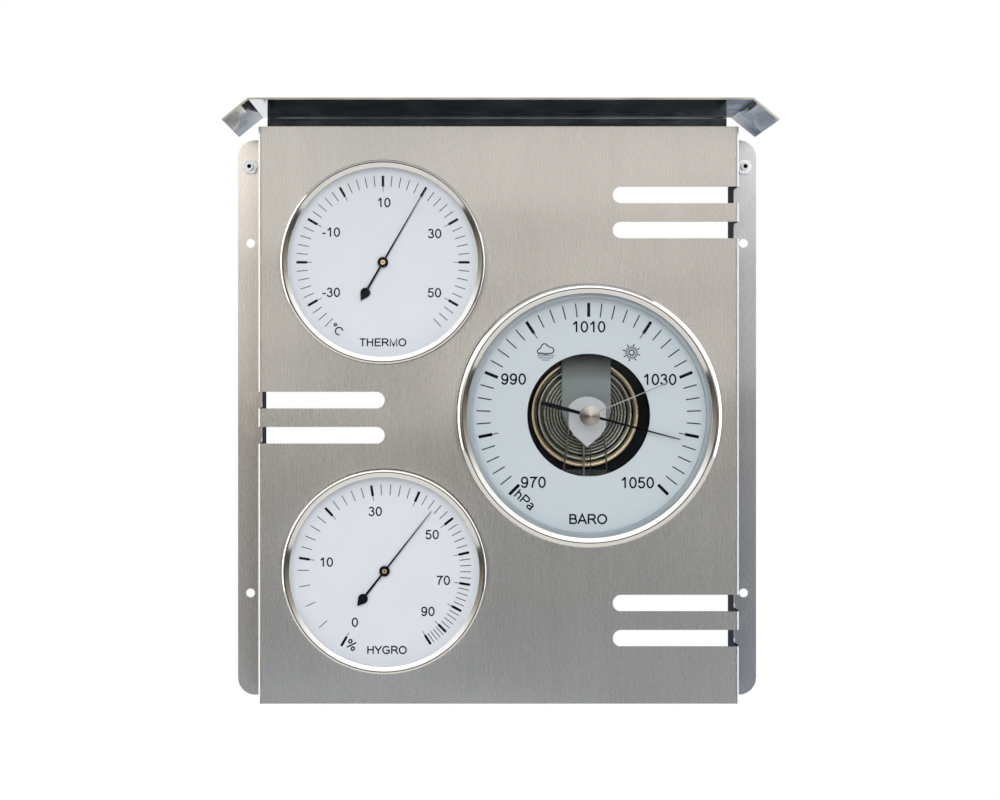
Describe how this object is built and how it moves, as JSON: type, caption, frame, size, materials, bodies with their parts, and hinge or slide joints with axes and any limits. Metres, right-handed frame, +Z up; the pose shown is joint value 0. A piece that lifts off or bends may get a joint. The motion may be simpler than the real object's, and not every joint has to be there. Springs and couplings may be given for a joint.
{
  "type": "weather station",
  "caption": "Wall weather station for outdoors: a folded steel housing with a roof hood, round thermometer, aneroid barometer and hair hygrometer.",
  "frame": {"origin": "middle of the four wall holes, on the wall side of the flanges", "axes": "+X to the right seen from the front, +Y into the wall, +Z up"},
  "size_m": [0.271, 0.074, 0.3027],
  "materials": {
    "brushed_sheet": "brushed upright, satin",
    "mirror_sheet": "mirror polished sheet",
    "fastener": "bright zinc",
    "bezel": "polished roll",
    "cover_glass": "clear flat glass",
    "spacer": "satin grey blue",
    "dial": "matt white print ground",
    "pointer": "satin black",
    "brass": "turned",
    "case": "dark satin paint",
    "movement_steel": "matt grey",
    "bright_steel": "bright",
    "capsule": "corrugated, tarnished",
    "hair": "bundle of fine hair",
    "marker": "thin polished blade",
    "knob": "turned cone"
  },
  "bodies": {
    "station": {"front_housing": "brushed_sheet", "roof_hood": "mirror_sheet", "roof_studs": "fastener", "roof_nuts": "fastener", "thermo_case": "case", "thermo_bezel": "bezel", "thermo_glass": "cover_glass", "thermo_spacer": "spacer", "thermo_dial": "dial", "thermo_clamp_ring": "brushed_sheet", "thermo_bridge": "movement_steel", "thermo_bush": "brass", "hygro_case": "case", "hygro_bezel": "bezel", "hygro_glass": "cover_glass", "hygro_spacer": "spacer", "hygro_dial": "dial", "hygro_clamp_ring": "brushed_sheet", "hygro_bridge": "movement_steel", "hygro_bush": "brass", "hygro_hair": "hair", "hygro_hair_clamp": "brass", "hygro_spring": "bright_steel", "baro_case": "case", "baro_bezel": "bezel", "baro_glass": "cover_glass", "baro_spacer": "spacer", "baro_dial": "dial", "baro_clamp_ring": "brushed_sheet", "baro_base_plate": "movement_steel", "baro_case_screws": "fastener", "aneroid_capsule": "capsule", "main_bridge": "movement_steel", "bridge_screws": "bright_steel", "shield_plate": "bright_steel", "shield_posts": "bright_steel", "lever_bracket": "movement_steel", "rocker_frame": "movement_steel", "side_wires": "bright_steel", "pointer_chain": "brass", "baro_bush": "brass", "baro_hairspring": "brass"},
    "thermo_hand": {"thermo_arbor": "brass", "thermo_pointer": "pointer"},
    "thermo_setting": {"thermo_adjuster": "brass", "thermo_coil": "movement_steel"},
    "hygro_hand": {"hygro_arbor": "brass", "hygro_pointer": "pointer"},
    "hygro_setting": {"hygro_screw": "brass"},
    "baro_hand": {"baro_arbor": "brass", "baro_pointer": "pointer"},
    "stud": {"capsule_stud": "bright_steel"},
    "lever": {"main_lever": "movement_steel"},
    "rocker": {"rocking_shaft": "bright_steel"},
    "marker": {"marker_hand": "marker", "marker_knob": "knob"},
    "baro_setting": {"baro_screw": "brass"}
  },
  "joints": [
    {"name": "thermo_pointer_turn", "type": "hinge", "parent": "station", "child": "thermo_hand", "pos_m": [-0.05839, -0.0364, 0.0798], "axis": [0, 1, 0], "range_deg": [-168, 108], "stiffness_Nm_per_rad": 0.0005, "deforming": ["thermo_coil"]},
    {"name": "thermo_adjust", "type": "hinge", "parent": "station", "child": "thermo_setting", "pos_m": [-0.05839, -0.0114, 0.0798], "axis": [0, 1, 0], "range_deg": [-15, 15]},
    {"name": "hygro_pointer_turn", "type": "hinge", "parent": "station", "child": "hygro_hand", "pos_m": [-0.05759, -0.0364, -0.0758], "axis": [0, 1, 0], "range_deg": [-188, 109], "stiffness_Nm_per_rad": 0.0003, "deforming": ["hygro_spring", "hygro_hair"]},
    {"name": "hygro_adjust", "type": "hinge", "parent": "station", "child": "hygro_setting", "pos_m": [-0.06049, -0.0114, -0.1143], "axis": [0, 1, 0], "range_deg": [-180, 180]},
    {"name": "baro_pointer_turn", "type": "hinge", "parent": "station", "child": "baro_hand", "pos_m": [0.0453, -0.0364, 0.00275], "axis": [0, 1, 0], "range_deg": [-239.8, 30.2], "stiffness_Nm_per_rad": 0.0003, "deforming": ["baro_hairspring", "pointer_chain"]},
    {"name": "stud_rise", "type": "slide", "parent": "station", "child": "stud", "axis": [0, -1, 0], "range_m": [-0.00003, 0.00023], "deforming": ["aneroid_capsule"]},
    {"name": "lever_tilt", "type": "hinge", "parent": "station", "child": "lever", "pos_m": [0.0453, -0.0174, 0.02075], "axis": [1, 0, 0], "range_deg": [-0.75, 0.1]},
    {"name": "rocker_turn", "type": "hinge", "parent": "station", "child": "rocker", "pos_m": [0.0453, -0.015, -0.03025], "axis": [1, 0, 0], "range_deg": [-22, 3]},
    {"name": "marker_turn", "type": "hinge", "parent": "station", "child": "marker", "pos_m": [0.0453, -0.042, 0.00275], "axis": [0, 1, 0], "continuous": true},
    {"name": "baro_adjust", "type": "hinge", "parent": "station", "child": "baro_setting", "pos_m": [0.0453, -0.0026, 0.00275], "axis": [0, 1, 0], "range_deg": [-180, 180]}
  ],
  "couplings": [
    {"joint": "stud_rise", "follows": "baro_pointer_turn", "m_per_rad": -0.000053},
    {"joint": "lever_tilt", "follows": "baro_pointer_turn", "ratio": 0.002948},
    {"joint": "rocker_turn", "follows": "baro_pointer_turn", "ratio": 0.0888}
  ]
}
